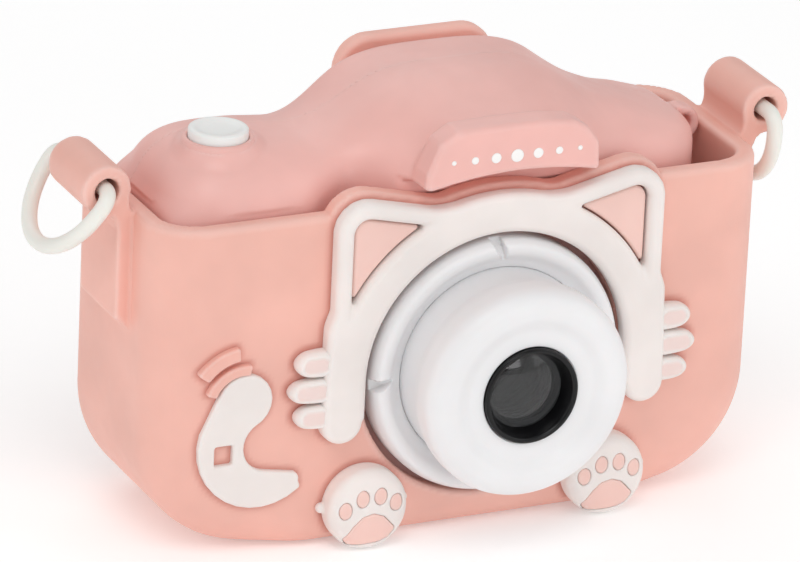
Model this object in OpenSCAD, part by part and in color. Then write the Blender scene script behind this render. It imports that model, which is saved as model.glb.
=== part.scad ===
// Kids digital camera in a soft silicone sleeve. Millimetres, +Z up, lens towards -Y, +X to the
// right seen from the lens side. The origin is on the surface the sleeve stands on, under the
// middle of the sleeve.

/* [Sleeve] */
// Width of the silicone sleeve without its lugs
sleeve_w = 93; // [92:0.5:96]
// Depth of the silicone sleeve, front face to back face
sleeve_d = 34; // [32:1:38]
// Height of the sleeve's rim
rim_z = 49.5; // [48:0.5:52]
// Thickness of the sleeve's walls
wall = 2.8; // [2.4:0.1:3]
// Radius of the sleeve's lower corners, seen from the front
low_corner_r = 17; // [14:1:18]
// Radius of the sleeve's upright edges, seen from above
edge_r = 7.5; // [6:0.5:8]

/* [Camera body] */
// Left end of the hard camera body
body_x0 = -43.3; // [-43.4:0.1:-42]
// Right end of the hard camera body
body_x1 = 40; // [38:0.5:41]
// Wall thickness of the camera shells
shell_t = 1.8; // [1.5:0.1:2.2]
// Place of the seam between the front and the rear shell
seam_y = 2.6; // [2.6:0.1:2.7]
// Height of the hump's crest
crest_z = 62.8; // [62:0.1:64]

/* [Lens] */
// Sideways place of the lens axis
lens_x = 3.8; // [2:0.1:5]
// Height of the lens axis
lens_z = 24.7; // [24:0.1:27]
// Outer radius of the barrel's wide front part
barrel_r = 15.4; // [15:0.1:15.6]
// Outer radius of the ring round the barrel's foot
base_r = 18.9; // [18:0.1:19.3]
// How far the barrel's front stands in front of the sleeve
barrel_reach = 13.9; // [13:0.1:17]

/* [Buttons] */
// Travel of the shutter button
shutter_travel = 1.0; // [0.6:0.1:1.2]
// Radius of the shutter button
shutter_r = 4.2; // [3.8:0.1:4.2]
// Radius of a rear button
key_r = 2.7; // [2.3:0.1:2.9]

/* [Strap rings] */
// Radius of the ring's wire
wire_r = 1.15; // [1:0.05:1.15]
// Radius of the ring's bow, to the middle of the wire
bow_r = 9.7; // [9.7:0.1:10.5]
// Angle between the left ring and straight down
left_lean = 35; // [20:1:40]
// Angle between the right ring and straight down
right_lean = 3; // [1:1:40]

/* [Hidden] */
$fn = 64;
gap = 0.2;
face_y = -sleeve_d / 2;
back_y = sleeve_d / 2;
body_y = sleeve_d / 2 - wall - gap;
body_z0 = wall + 0.25;
relief = 2.6;
head_r = 25.6;
ring_gap_r = 19.8;
barrel_front = face_y - barrel_reach;
neck_r = barrel_r - 1;
neck_front = barrel_front + 5.5;
base_front = face_y - 3;
hump_x = 5;
shutter_x = -32.8;
shutter_y = -3.5;
shutter_top = 59;
collar_top = 57.7;
switch_top = 50.6;
key_back = body_y - 3;
key_front = body_y + 1.2;
pad_x = -27;
pad_z = 26;
pad_step = 8;
screen_x = 9.5;
screen_z = 25.5;
screen_w = 42;
screen_h = 34;
lcd_w = 41;
lcd_h = 33;
board_y = 6;
board_t = 1.2;
port_y = 4.4;
usb_x = 12;
card_x = -3;
lug_x = 50.4;
lug_z = 52.75;
lug_y0 = -6.8;
lug_y1 = 6;
foot_edge_r = 3.4;
lug_r = 3.6;
lug_bore_r = 1.8;
left_ring_y = 1.55;
right_ring_y = 0.1;
ring_corner_r = 2;
bow_h = 1.9;
hind_x = 18.4;
hind_z = 6.2;
hind_r = 6.2;
hinge_x = -10.6;
hinge_pin_r = 0.6;
arm_x = 23.2;
arm_z = 19;
arm_r = 3.1;
finger_r = 1.75;
finger_places = [[30.4, 28.6], [31.3, 24.6], [30.2, 20.6]];
boss_r = 2.6;
back_hump_x = 5.3;
back_hump_w = 24.4;
collar_r = 5.3;
visor_y = face_y - 3.2;
// The body's upper outline, from its right end to its left end.
shoulder_top = [[body_x1, 47], [body_x1 - 1.5, 52.2], [body_x1 - 5, 54.6], [30, 55.8], [22, 56.8],
    [-18, 57.4], [-26, 57.4], [-32, 57], [-36, 56.2], [-39, 54.9], [-41, 53.4], [body_x0 + 0.7, 51.5], [body_x0, 48]];
// Half-widths of the hump at rising heights, and its half-widths from back to front.
hump_sides = [[26, 40], [26, 53], [21, 55], [17.4, 57], [14, 60], [10.4, 62.2], [8.5, crest_z]];
hump_plan = [[27, 20], [27, -7], [14.4, -14.5], [13.4, visor_y - 4]];
cover_z = 1.9;
// Radii of the body's lower corners, seen from the front.
low_left_r = 14;
low_right_r = 13;
// Radius of the front shell's right end, seen from above.
front_end_r = 12;
// The cord eyelet: how far its middle is past the body's end, its height and its outer radius.
eyelet_out = 0.4;
eyelet_z = 49.7;
eyelet_r = 2.6;

// ---- shared shapes ----
function arc(cx, cz, r, a0, a1, n = 6) =
    [for (i = [0:n]) let (a = a0 + (a1 - a0) * i / n) [cx + r * cos(a), cz + r * sin(a)]];
function round_box(x0, x1, z0, z1, r, n = 6) = concat(
    arc(x1 - r, z1 - r, r, 0, 90, n), arc(x0 + r, z1 - r, r, 90, 180, n),
    arc(x0 + r, z0 + r, r, 180, 270, n), arc(x1 - r, z0 + r, r, 270, 360, n));

// A flat (x, z) drawing made solid from y0 to y1.
module slab_y(y0, y1) {
    translate([0, y1, 0]) rotate([90, 0, 0]) linear_extrude(y1 - y0) children();
}
// A flat (y, z) drawing made solid from x0 to x1.
module slab_x(x0, x1) {
    translate([x0, 0, 0]) rotate([90, 0, 90]) linear_extrude(x1 - x0) children();
}
module rod_y(x, z, r, y0, y1) {
    translate([x, y1, z]) rotate([90, 0, 0]) cylinder(r = r, h = y1 - y0);
}
module block(x0, x1, y0, y1, z0, z1) {
    translate([x0, y0, z0]) cube([x1 - x0, y1 - y0, z1 - z0]);
}
// A ring or disc about the lens axis, from a list of [radius, y] points.
module lens_turn(points) {
    translate([lens_x, 0, lens_z]) rotate([90, 0, 0]) rotate_extrude()
        polygon([for (p = points) [p[0], -p[1]]]);
}
module both_sides() {
    for (side = [-1, 1]) translate([lens_x, 0, 0]) scale_x(side) children();
}
module scale_x(side) {
    if (side < 0) mirror([1, 0, 0]) children();
    else children();
}

// ---- sleeve ----
// The sleeve's outer form, or its hollow when inset by the wall; the hollow runs out at the top.
module sleeve_block(inset, z_top) {
    corner_x = sleeve_w / 2 - low_corner_r;
    edge_y = sleeve_d / 2 - edge_r;
    hull() for (sx = [-1, 1], sy = [-1, 1]) {
        translate([sx * corner_x, sy * edge_y, low_corner_r]) rotate([90, 0, 0])
            rotate_extrude($fn = 48) translate([low_corner_r - edge_r, 0]) circle(edge_r - inset, $fn = 32);
        translate([sx * (sleeve_w / 2 - edge_r), sy * edge_y, z_top - 1])
            cylinder(r = edge_r - inset, h = 1, $fn = 32);
        translate([sx * (corner_x - 2), sy * (sleeve_d / 2 - foot_edge_r), foot_edge_r])
            sphere(r = foot_edge_r - inset, $fn = 16);
    }
}
module lug(side) {
    difference() {
        scale_x(side) union() {
            rod_y(lug_x, lug_z, lug_r, lug_y0, lug_y1);
            slab_y(lug_y0, lug_y1)
                polygon([[lug_x - lug_r, lug_z], [sleeve_w / 2 - 1, 33], [sleeve_w / 2 - 1, 31.5],
                    [sleeve_w / 2 + 2, 34], [sleeve_w / 2 + 2.2, 47], [lug_x + 0.5, lug_z - 3.3]]);
        }
        scale_x(side) rod_y(lug_x, lug_z, lug_bore_r, lug_y0 - 1, lug_y1 + 1);
    }
}
module back_hump_outline() {
    half = back_hump_w / 2;
    polygon(concat([[back_hump_x + half, 44]], arc(back_hump_x + half - 5, 57.4, 5, 0, 90),
        arc(back_hump_x - half + 5, 57.4, 5, 90, 180), [[back_hump_x - half, 44]]));
}
module sleeve() {
    color("#efb3a4") difference() {
        union() {
            difference() {
                sleeve_block(0, rim_z);
                sleeve_block(wall, rim_z + 1);
            }
            slab_y(face_y, face_y + wall) intersection() {
                offset(delta = 0.9) cat_outline();
                translate([-sleeve_w / 2, 44]) square([sleeve_w, 20]);
            }
            slab_y(back_y - wall, back_y) back_hump_outline();
            lug(-1);
            lug(1);
        }
        rod_y(lens_x, lens_z, ring_gap_r, face_y - 1, face_y + wall + 1);
        slab_y(back_y - wall - 1, back_y + 1) polygon(round_box(-39, 37.5, 6, 45.5, 5));
        rod_y(back_hump_x, 55, 4.4, back_y - wall - 1, back_y + 1);
        block(-12, 19, -1.5, 10, -1, wall + 1);
        rod_y(hinge_x, cover_z, hinge_pin_r + 0.05, -2.6, 11.1);
    }
}

// ---- cat relief on the sleeve ----
module ear_shape() {
    polygon(concat([[5, 23]], arc(20.4, 22.2, 4.6, 103, 5), [[25, 10], [18, 8], [5, 18]]));
}
module arm_shape() {
    polygon(concat([[18, lens_z + 13], [24.4, lens_z + 13], [24.8, lens_z + 11], [arm_x + arm_r, lens_z + 5]],
        arc(arm_x, arm_z, arm_r, 0, -180, 10), [[arm_x - arm_r, lens_z + 2], [18, lens_z + 11]]));
}
module cat_outline() {
    intersection() {
        translate([lens_x, lens_z]) circle(head_r);
        translate([lens_x - head_r, arm_z]) square([2 * head_r, 60]);
    }
    both_sides_2d() translate([0, lens_z]) ear_shape();
    both_sides_2d() arm_shape();
}
module both_sides_2d() {
    translate([lens_x, 0]) children();
    translate([lens_x, 0]) mirror([1, 0]) children();
}
module ear_opening() {
    difference() {
        offset(delta = -2.4) ear_shape();
        circle(head_r - 0.1);
    }
}
module cat_frame() {
    color("#f2efec") slab_y(face_y - relief, face_y) difference() {
        cat_outline();
        translate([lens_x, lens_z]) circle(ring_gap_r);
        translate([lens_x - ring_gap_r, 0]) square([2 * ring_gap_r, lens_z]);
        both_sides_2d() translate([0, lens_z]) ear_opening();
    }
}
module ear_inlays() {
    color("#efb9b2") slab_y(face_y - 1.4, face_y) both_sides_2d() translate([0, lens_z])
        offset(delta = -0.1) ear_opening();
}
module finger_shape() {
    for (f = finger_places) polygon(concat([[arm_x + arm_r, f[1] - finger_r]],
        arc(f[0] - finger_r, f[1], finger_r, -90, 90, 8), [[arm_x + arm_r, f[1] + finger_r]]));
}
module cat_fingers() {
    color("#f3e4de") slab_y(face_y - relief, face_y) both_sides_2d() finger_shape();
}
module hind_paws() {
    color("#f2efec") both_sides() {
        rod_y(hind_x, hind_z, hind_r, face_y - 2.6, face_y);
        translate([hind_x, face_y - 2.6, hind_z]) rotate([90, 0, 0])
            cylinder(r1 = hind_r, r2 = hind_r - 1.6, h = 1.4);
    }
}
module pad_shape() {
    for (toe = [[-3.9, 0.9], [-1.4, 2.2], [1.4, 2.2], [3.9, 0.9]]) translate(toe) circle(0.95);
    polygon(concat(arc(0, -2.5, 2.1, 145, 35, 6), arc(2.7, -3.6, 0.9, 45, -70, 4),
        arc(-2.7, -3.6, 0.9, 250, 135, 4)));
}
module paw_pads() {
    color("#efb9b2") slab_y(face_y - 4.4, face_y - 4) both_sides_2d()
        translate([hind_x, hind_z]) pad_shape();
}

// ---- moon relief on the sleeve ----
module moon_shape() {
    difference() {
        polygon(concat(arc(-31, 17, 9.4, 165, 316, 10), arc(-26.2, 11.3, 1, -45, 95),
            arc(-29.8, 16.8, 3.8, 262, 130, 8), arc(-33.6, 23.7, 4.1, -50, 155, 10)));
        translate([-38, 14.6]) square([2.8, 2.9]);
    }
}
module moon_inlay() {
    color("#f2efec") slab_y(face_y - 0.9, face_y) moon_shape();
}
module moon_hat() {
    color("#efb3a4") slab_y(face_y - 1.1, face_y) translate([-33.6, 23.7]) rotate(29) {
        polygon(concat(arc(0, 0, 4.3, 50, 130, 8), arc(0, 0, 5.8, 130, 50, 8)));
        polygon(concat(arc(0, 0, 6.6, 66, 114, 6), arc(0, 0, 8.5, 114, 66, 6)));
    }
}

// ---- camera body ----
module shoulder_profile(inset) {
    offset(delta = -inset) polygon(concat(shoulder_top,
        arc(body_x0 + low_left_r, body_z0 + low_left_r, low_left_r, 180, 270, 8),
        arc(body_x1 - low_right_r, body_z0 + low_right_r, low_right_r, 270, 360, 8)));
}
module shoulder_section(inset) {
    offset(delta = -inset) polygon(concat(
        [for (a = [0:9:180]) [body_y * sign(cos(a)) * pow(abs(cos(a)), 0.75), 45 + 12.5 * sin(a)]],
        arc(-body_y + 2.6, body_z0 + 2.6, 2.6, 180, 270, 4),
        arc(body_y - 2.6, body_z0 + 2.6, 2.6, 270, 360, 4)));
}
module hump_profile(inset) {
    offset(delta = -inset) polygon([for (side = [1, -1], i = [0:6])
        let (p = hump_sides[side > 0 ? i : 6 - i]) [hump_x + side * p[0], p[1]]]);
}
module hump_section(inset) {
    offset(delta = -inset) polygon([[body_y, 40], [body_y, 60.6], [12.8, 62.2], [11.4, crest_z], [0, crest_z],
        [-8, 62.3], [visor_y + 1.2, 60.8], [visor_y, 60], [visor_y, 53.2], [-body_y, 52], [-body_y, 40]]);
}
module visor_plan(inset) {
    offset(delta = -inset) polygon([for (side = [1, -1], i = [0:3])
        let (p = hump_plan[side > 0 ? i : 3 - i]) [hump_x + side * p[0], p[1]]]);
}
module body_plan(inset) {
    offset(delta = -inset) polygon(concat(
        arc(body_x1 - 5, body_y - 5, 5, 0, 90), arc(body_x0 + 5, body_y - 5, 5, 90, 180),
        arc(body_x0 + 5, 5 - body_y, 5, 180, 270),
        arc(body_x1 - front_end_r, front_end_r - body_y, front_end_r, 270, 360, 10)));
}
// What a lower corner of the body gives up, so that its edges are round as they turn the corner.
module corner_trim(x, z, r, outward, inset) {
    edge = 4.7 - inset / 2;
    ring = r + 0.1 - inset - edge;
    deep = body_y - inset;
    round = concat(arc(ring, edge - deep, edge, -80, 0, 5), arc(ring, deep - edge, edge, 0, 80, 5));
    difference() {
        block(min(x, x + outward), max(x, x + outward), -20, 20, z - 20, z);
        translate([x, 0, z]) rotate([90, 0, 0]) rotate_extrude()
            polygon(concat([[0, -deep - 1], [ring + 0.5, -deep - 1]], round,
                [[ring + 0.5, deep + 1], [0, deep + 1]]));
    }
}
module camera_solid(inset) {
    difference() {
        intersection() {
            slab_y(-30, 30) shoulder_profile(inset);
            slab_x(-60, 60) shoulder_section(inset);
            linear_extrude(80) body_plan(inset);
        }
        corner_trim(body_x0 + low_left_r, body_z0 + low_left_r, low_left_r, -20, inset);
        corner_trim(body_x1 - low_right_r, body_z0 + low_right_r, low_right_r, 20, inset);
    }
    intersection() {
        slab_y(-30, 30) hump_profile(inset);
        slab_x(-60, 60) hump_section(inset);
        linear_extrude(80) visor_plan(inset);
    }
}
screw_places = [[-35.5, 12.5], [34, 12], [-38.8, 46.9], [34.5, 47]];
board_screw_places = [[-11, 46.3], [26.2, 46.3]];
key_places = [[pad_x, pad_z + pad_step], [pad_x, pad_z - pad_step], [pad_x + pad_step, pad_z],
    [pad_x - pad_step, pad_z], [pad_x, pad_z], [pad_x + 6, pad_z + 16], [pad_x - 6, pad_z + 16]];
module front_shell() {
    color("#efb2b0") difference() {
        union() {
            difference() {
                intersection() {
                    camera_solid(0);
                    block(-70, 70, -40, seam_y, 0, 80);
                }
                camera_solid(shell_t);
            }
            intersection() {
                camera_solid(0);
                for (p = screw_places) rod_y(p[0], p[1], boss_r, -body_y + 1, seam_y);
            }
            eyelet();
            for (z = [20, 36]) block(-36, -12, -body_y + 1, -9, z, z + 1.5);
            block(shutter_x - 3, shutter_x + 3, -body_y + 1, shutter_y + 3, 46.8, 48);
            translate([shutter_x, shutter_y, 50]) cylinder(r = collar_r + 0.7, h = 4.6);
            translate([shutter_x, shutter_y, 50]) cylinder(r = collar_r, h = collar_top - 50);
        }
        for (p = screw_places) rod_y(p[0], p[1], 0.95, -body_y + 5, seam_y + 1);
        translate([shutter_x, shutter_y, 49]) cylinder(r = shutter_r + 0.7, h = 5.2);
        translate([shutter_x, shutter_y, 49]) cylinder(r = shutter_r + 0.15, h = 20);
        rod_y(lens_x, lens_z, 7.6, -body_y - 1, -body_y + 4);
    }
}
module eyelet() {
    slab_y(seam_y - 3.1, seam_y - 0.1) difference() {
        union() {
            translate([body_x1 + eyelet_out, eyelet_z]) circle(eyelet_r);
            translate([body_x1 - 2, eyelet_z - eyelet_r]) square([2 + eyelet_out, 2 * eyelet_r]);
        }
        translate([body_x1 + eyelet_out + 0.1, eyelet_z]) circle(1.15);
    }
}
module rear_shell() {
    color("#efb2b0") difference() {
        union() {
            difference() {
                intersection() {
                    camera_solid(0);
                    block(-70, 70, seam_y, 40, 0, 80);
                }
                camera_solid(shell_t);
            }
            intersection() {
                camera_solid(0);
                for (p = screw_places) rod_y(p[0], p[1], boss_r, seam_y, body_y - 0.5);
            }
            for (p = board_screw_places) rod_y(p[0], p[1], 2.2, board_y + board_t, body_y - 1);
        }
        for (p = screw_places) {
            rod_y(p[0], p[1], 1.2, seam_y - 1, body_y + 1);
            rod_y(p[0], p[1], 2.1, body_y - 1.6, body_y + 1);
        }
        for (p = board_screw_places) rod_y(p[0], p[1], 0.95, board_y, body_y - 2.5);
        for (k = key_places) rod_y(k[0], k[1], key_r + 0.15, body_y - 2, body_y + 1);
        slab_y(body_y - 2, body_y + 1) polygon(round_box(screen_x - screen_w / 2, screen_x + screen_w / 2,
            screen_z - screen_h / 2, screen_z + screen_h / 2, 1.5));
        rod_y(hump_x, 55, 3.2, body_y - 4, body_y + 1);
        for (h = [-1:1], v = [-1:1]) rod_y(pad_x + 2.4 * h, 10.4 + 2.4 * v, 0.6, body_y - 4, body_y + 1);
        block(usb_x - 4, usb_x + 4, port_y - 1.6, port_y + 1.9, 0, 6);
        block(card_x - 5.8, card_x + 5.8, port_y - 0.7, port_y + 0.7, 0, 6);
    }
}

// ---- lens ----
module lens_base_ring() {
    foot = -body_y;
    color("#f4f2f0") difference() {
        lens_turn([[neck_r + 0.1, foot], [base_r, foot], [base_r, base_front + 1.8],
            [base_r - 0.4, base_front + 0.7], [base_r - 1.3, base_front], [neck_r + 2.2, base_front],
            [neck_r + 1, base_front + 1.2], [neck_r + 0.1, base_front + 1.5]]);
        for (a = [0:90:270]) translate([lens_x, 0, lens_z]) rotate([0, a, 0])
            translate([-0.6, base_front - 1, base_r - 1.4]) cube([1.2, 3, 3]);
    }
}
module lens_barrel() {
    foot = -body_y;
    color("#f6f5f4") lens_turn([[8.2, foot], [neck_r, foot], [neck_r, neck_front],
        [barrel_r, neck_front], [barrel_r, barrel_front + 2.2],
        [barrel_r - 0.4, barrel_front + 1], [barrel_r - 1.2, barrel_front + 0.3],
        [barrel_r - 2.4, barrel_front], [11, barrel_front + 0.25], [10, barrel_front + 0.7],
        [7.1, barrel_front + 0.7], [7.1, barrel_front + 3.3], [8.2, barrel_front + 3.3]]);
}
module lens_bezel() {
    color("#151517") lens_turn([[5.6, barrel_front + 3.3], [7, barrel_front + 3.3], [7, barrel_front + 0.5],
        [6.7, barrel_front + 0.2], [6.2, barrel_front + 0.2], [5.6, barrel_front + 1.8]]);
}
module lens_glass() {
    color("#30343a", 0.4) lens_turn([[0, barrel_front + 3.3], [5.5, barrel_front + 3.3],
        [5.5, barrel_front + 2.5], [4, barrel_front + 1.95], [2, barrel_front + 1.62], [0, barrel_front + 1.5]]);
}
module lens_tube() {
    color("#1b1b1d") lens_turn([[5.2, -8], [6.6, -8], [6.6, barrel_front + 4.8], [8, barrel_front + 4.8],
        [8, barrel_front + 3.3], [4.6, barrel_front + 3.3], [4.6, barrel_front + 5.6], [5.2, barrel_front + 5.6]]);
}
module lens_element() {
    color("#3a3f52", 0.5) lens_turn([[0, -16.5], [5.1, -16.5], [5.1, -19], [3.5, -20.2], [1.7, -20.8], [0, -21]]);
}
module front_camera_module() {
    color("#2b2b2f") {
        block(lens_x - 6, lens_x + 6, -8, -5, lens_z - 6, lens_z + 6);
        rod_y(lens_x, lens_z, 3.4, -14, -8);
    }
}
module camera_flexes() {
    color("#d98a2b") {
        block(lens_x - 3, lens_x + 3, -5, -4.7, lens_z - 4, lens_z + 10);
        block(lens_x - 3, lens_x + 3, -5, board_y, lens_z + 9.7, lens_z + 10);
        block(hump_x - 2, hump_x + 2, board_y - 0.3, board_y, 40, 51.5);
        block(hump_x - 2, hump_x + 2, board_y - 0.3, 8, 51.2, 51.5);
    }
}
module rear_camera_module() {
    color("#2b2b2f") {
        block(hump_x - 3.5, hump_x + 3.5, 6.5, 9, 51.5, 58.5);
        rod_y(hump_x, 55, 2.6, 9, body_y - 1.4);
    }
}
module rear_lens_window() {
    color("#1a1d22", 0.5) rod_y(hump_x, 55, 3.1, body_y - 1.4, body_y);
}

// ---- buttons ----
module shutter_button() {
    color("#f4f4f2") translate([shutter_x, shutter_y, 0]) {
        translate([0, 0, 53]) cylinder(r = shutter_r, h = shutter_top - 53.7);
        translate([0, 0, shutter_top - 0.7]) cylinder(r1 = shutter_r, r2 = shutter_r - 0.7, h = 0.7);
        translate([0, 0, 53]) cylinder(r = shutter_r + 0.5, h = 0.9);
        translate([0, 0, switch_top + shutter_travel + 0.2]) cylinder(r = 1.6, h = 2);
    }
}
module rear_key(k) {
    color("#f4f4f2") {
        rod_y(k[0], k[1], key_r, key_back + 0.8, key_front);
        rod_y(k[0], k[1], key_r + 0.7, key_back, key_back + 0.8);
    }
}
module button_up() { rear_key(key_places[0]); }
module button_down() { rear_key(key_places[1]); }
module button_left() { rear_key(key_places[2]); }
module button_right() { rear_key(key_places[3]); }
module button_ok() { rear_key(key_places[4]); }
module button_power() { rear_key(key_places[5]); }
module button_mode() { rear_key(key_places[6]); }
module keypad_membrane() {
    color("#dcdcdc") block(pad_x - 11.5, pad_x + 12, key_back - 1.4, key_back - 0.8, pad_z - 9.5, pad_z + 18.2);
}
module key_switches() {
    color("#3a3a3a") for (k = key_places)
        block(k[0] - 1.8, k[0] + 1.8, board_y + board_t, key_back - 1.4, k[1] - 1.8, k[1] + 1.8);
}
module shutter_switch() {
    color("#3a3a3a") {
        block(shutter_x - 3, shutter_x + 3, shutter_y - 3, shutter_y + 3, 48, 49.6);
        translate([shutter_x, shutter_y, switch_top - 1]) cylinder(r = 1.5, h = 1);
    }
}

// ---- inside ----
module main_board() {
    color("#2f7d4f") difference() {
        union() {
            block(-40.5, 37, board_y, board_y + board_t, 7, 43.5);
            for (p = board_screw_places)
                block(p[0] - 3, p[0] + 3, board_y, board_y + board_t, 43, p[1] + 3);
        }
        block(-41, -32.4, board_y - 1, board_y + board_t + 1, 6, 15.6);
        block(30.9, 38, board_y - 1, board_y + board_t + 1, 6, 15.1);
        for (p = board_screw_places) rod_y(p[0], p[1], 1.1, board_y - 1, board_y + board_t + 1);
    }
}
module battery() {
    color("#9aa3ad") block(-39, -9, -9, -3.4, 16, 41);
}
module battery_leads() {
    for (z = [30, 33]) color("#c23b3b") lead(z);
}
module lead(z) {
    translate([-9, -4.2, z]) rotate([0, 90, 0]) cylinder(r = 0.5, h = 4);
    translate([-5.5, board_y - 0.1, z]) rotate([90, 0, 0]) cylinder(r = 0.5, h = board_y + 4);
}
module speaker() {
    color("#222222") {
        rod_y(pad_x, 10.4, 3.9, 9, body_y - shell_t - 0.7);
        rod_y(pad_x, 10.4, 3, board_y + board_t, 9);
    }
}
module microphone() {
    color("#b9b9b9") rod_y(20, 12, 2, board_y - 2, board_y);
}
module lcd_panel() {
    color("#22252b") block(screen_x - lcd_w / 2, screen_x + lcd_w / 2, board_y + board_t, body_y - 2.9,
        screen_z - lcd_h / 2, screen_z + lcd_h / 2);
}
module lcd_gasket() {
    color("#111111") slab_y(body_y - 2.9, body_y - 1.3) difference() {
        translate([screen_x - lcd_w / 2, screen_z - lcd_h / 2]) square([lcd_w, lcd_h]);
        translate([screen_x - lcd_w / 2 + 1.8, screen_z - lcd_h / 2 + 1.8]) square([lcd_w - 3.6, lcd_h - 3.6]);
    }
}
module lcd_window() {
    color("#101216", 0.6) slab_y(body_y - 1.3, body_y) polygon(round_box(screen_x - screen_w / 2 + 0.1,
        screen_x + screen_w / 2 - 0.1, screen_z - screen_h / 2 + 0.1, screen_z + screen_h / 2 - 0.1, 1.4));
}
module lcd_ribbon() {
    color("#d98a2b") {
        block(9, 19, board_y + board_t + 0.5, board_y + board_t + 0.8, screen_z + lcd_h / 2, 44.9);
        block(9, 19, board_y - 0.6, board_y + board_t + 0.8, 44.6, 44.9);
        block(9, 19, board_y - 0.6, board_y - 0.3, 38, 44.9);
        block(9, 19, board_y - 0.6, board_y, 37, 38);
    }
}
module usb_socket() {
    color("#c8c8cc") difference() {
        block(usb_x - 3.75, usb_x + 3.75, port_y - 1.3, board_y, body_z0 + 0.6, 12);
        block(usb_x - 3.3, usb_x + 3.3, port_y - 0.9, port_y + 0.9, 0, 9);
    }
}
module card_socket() {
    color("#c8c8cc") difference() {
        block(card_x - 7, card_x + 7, port_y - 1.1, board_y, 7, 22);
        block(card_x - 5.6, card_x + 5.6, port_y - 0.6, port_y + 0.6, 0, 20.2);
    }
}
module memory_card() {
    color("#26262a") block(card_x - 5.5, card_x + 5.5, port_y - 0.5, port_y + 0.5, 4, 19);
}
module port_cover() {
    color("#efb3a4") {
        block(hinge_x, 17.5, 0.4, 8.6, 1.1, wall - 0.1);
        rod_y(hinge_x, cover_z, 0.8, 0.4, 8.6);
        rod_y(hinge_x, cover_z, hinge_pin_r, -2.5, 11);
    }
}
module shell_screws() {
    color("#b8b8bc") for (p = screw_places) {
        rod_y(p[0], p[1], 0.9, -6, body_y - 2.1);
        rod_y(p[0], p[1], 1.9, body_y - 1.55, body_y - 0.7);
        rod_y(p[0], p[1], 1.1, body_y - 2.1, body_y - 1.55);
    }
}
module board_screws() {
    color("#b8b8bc") for (p = board_screw_places) {
        rod_y(p[0], p[1], 0.9, board_y - 1, body_y - 3);
        rod_y(p[0], p[1], 1.8, board_y - 1, board_y);
    }
}

// ---- strap rings ----
module ring_path() {
    corner_y = sqrt(pow(bow_r - ring_corner_r, 2) - pow(bow_h - ring_corner_r, 2));
    tilt = atan2(ring_corner_r - bow_h, corner_y);
    translate([-corner_y - 0.2, 0, 0]) rotate([0, 90, 0]) cylinder(r = wire_r - 0.06, h = 2 * corner_y + 0.4);
    for (side = [0, 1]) mirror([side, 0, 0]) translate([corner_y, ring_corner_r, 0]) rotate([0, 0, -90])
        rotate_extrude(angle = 94 + tilt) translate([ring_corner_r, 0]) circle(wire_r - 0.03);
    translate([0, bow_h, 0]) rotate([0, 0, tilt]) rotate_extrude(angle = 180 - 2 * tilt)
        translate([bow_r, 0]) circle(wire_r);
}
module strap_ring(side, lean, y) {
    color("#f2f2ee") scale_x(side) translate([lug_x, y, lug_z])
        rotate([0, -lean, 0]) rotate([0, 90, 0]) rotate([0, 0, -90]) ring_path();
}
module strap_ring_left() { strap_ring(-1, left_lean, left_ring_y); }
module strap_ring_right() { strap_ring(1, right_lean, right_ring_y); }

sleeve();
cat_frame();
ear_inlays();
cat_fingers();
hind_paws();
paw_pads();
moon_inlay();
moon_hat();
front_shell();
rear_shell();
lens_base_ring();
lens_barrel();
lens_bezel();
lens_glass();
lens_tube();
lens_element();
front_camera_module();
camera_flexes();
rear_camera_module();
rear_lens_window();
shutter_button();
button_up();
button_down();
button_left();
button_right();
button_ok();
button_power();
button_mode();
keypad_membrane();
key_switches();
shutter_switch();
main_board();
battery();
battery_leads();
speaker();
microphone();
lcd_panel();
lcd_gasket();
lcd_window();
lcd_ribbon();
usb_socket();
card_socket();
memory_card();
port_cover();
shell_screws();
board_screws();
strap_ring_left();
strap_ring_right();
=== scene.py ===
"""The looks of a toy camera in a soft silicone sleeve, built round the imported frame.

Lengths are in millimetres up to the moment a mesh is made. Most shapes are written as signed
distances, which are negative inside a shape, and are turned into even meshes with soft edges.
"""

import math

import bmesh
import bpy
import numpy as np
from mathutils import Matrix, Vector


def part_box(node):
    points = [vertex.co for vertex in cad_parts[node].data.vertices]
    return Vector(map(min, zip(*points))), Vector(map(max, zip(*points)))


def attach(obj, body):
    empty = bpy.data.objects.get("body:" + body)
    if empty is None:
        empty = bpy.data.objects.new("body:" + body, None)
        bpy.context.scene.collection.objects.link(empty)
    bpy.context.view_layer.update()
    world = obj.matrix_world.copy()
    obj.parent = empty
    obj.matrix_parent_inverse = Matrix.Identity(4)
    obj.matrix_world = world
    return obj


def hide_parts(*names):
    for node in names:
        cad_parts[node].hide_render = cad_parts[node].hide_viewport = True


MM = 0.001
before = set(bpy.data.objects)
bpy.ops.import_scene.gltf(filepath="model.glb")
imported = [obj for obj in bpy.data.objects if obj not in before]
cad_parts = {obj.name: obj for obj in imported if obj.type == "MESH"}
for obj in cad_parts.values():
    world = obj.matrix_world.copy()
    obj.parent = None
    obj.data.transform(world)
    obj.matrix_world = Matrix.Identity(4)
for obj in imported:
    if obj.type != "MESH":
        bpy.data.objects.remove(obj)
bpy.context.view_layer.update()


def span(node):
    """Lowest and highest corners of a CAD node, in millimetres."""
    low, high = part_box(node)
    return np.array(low) / MM, np.array(high) / MM


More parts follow.
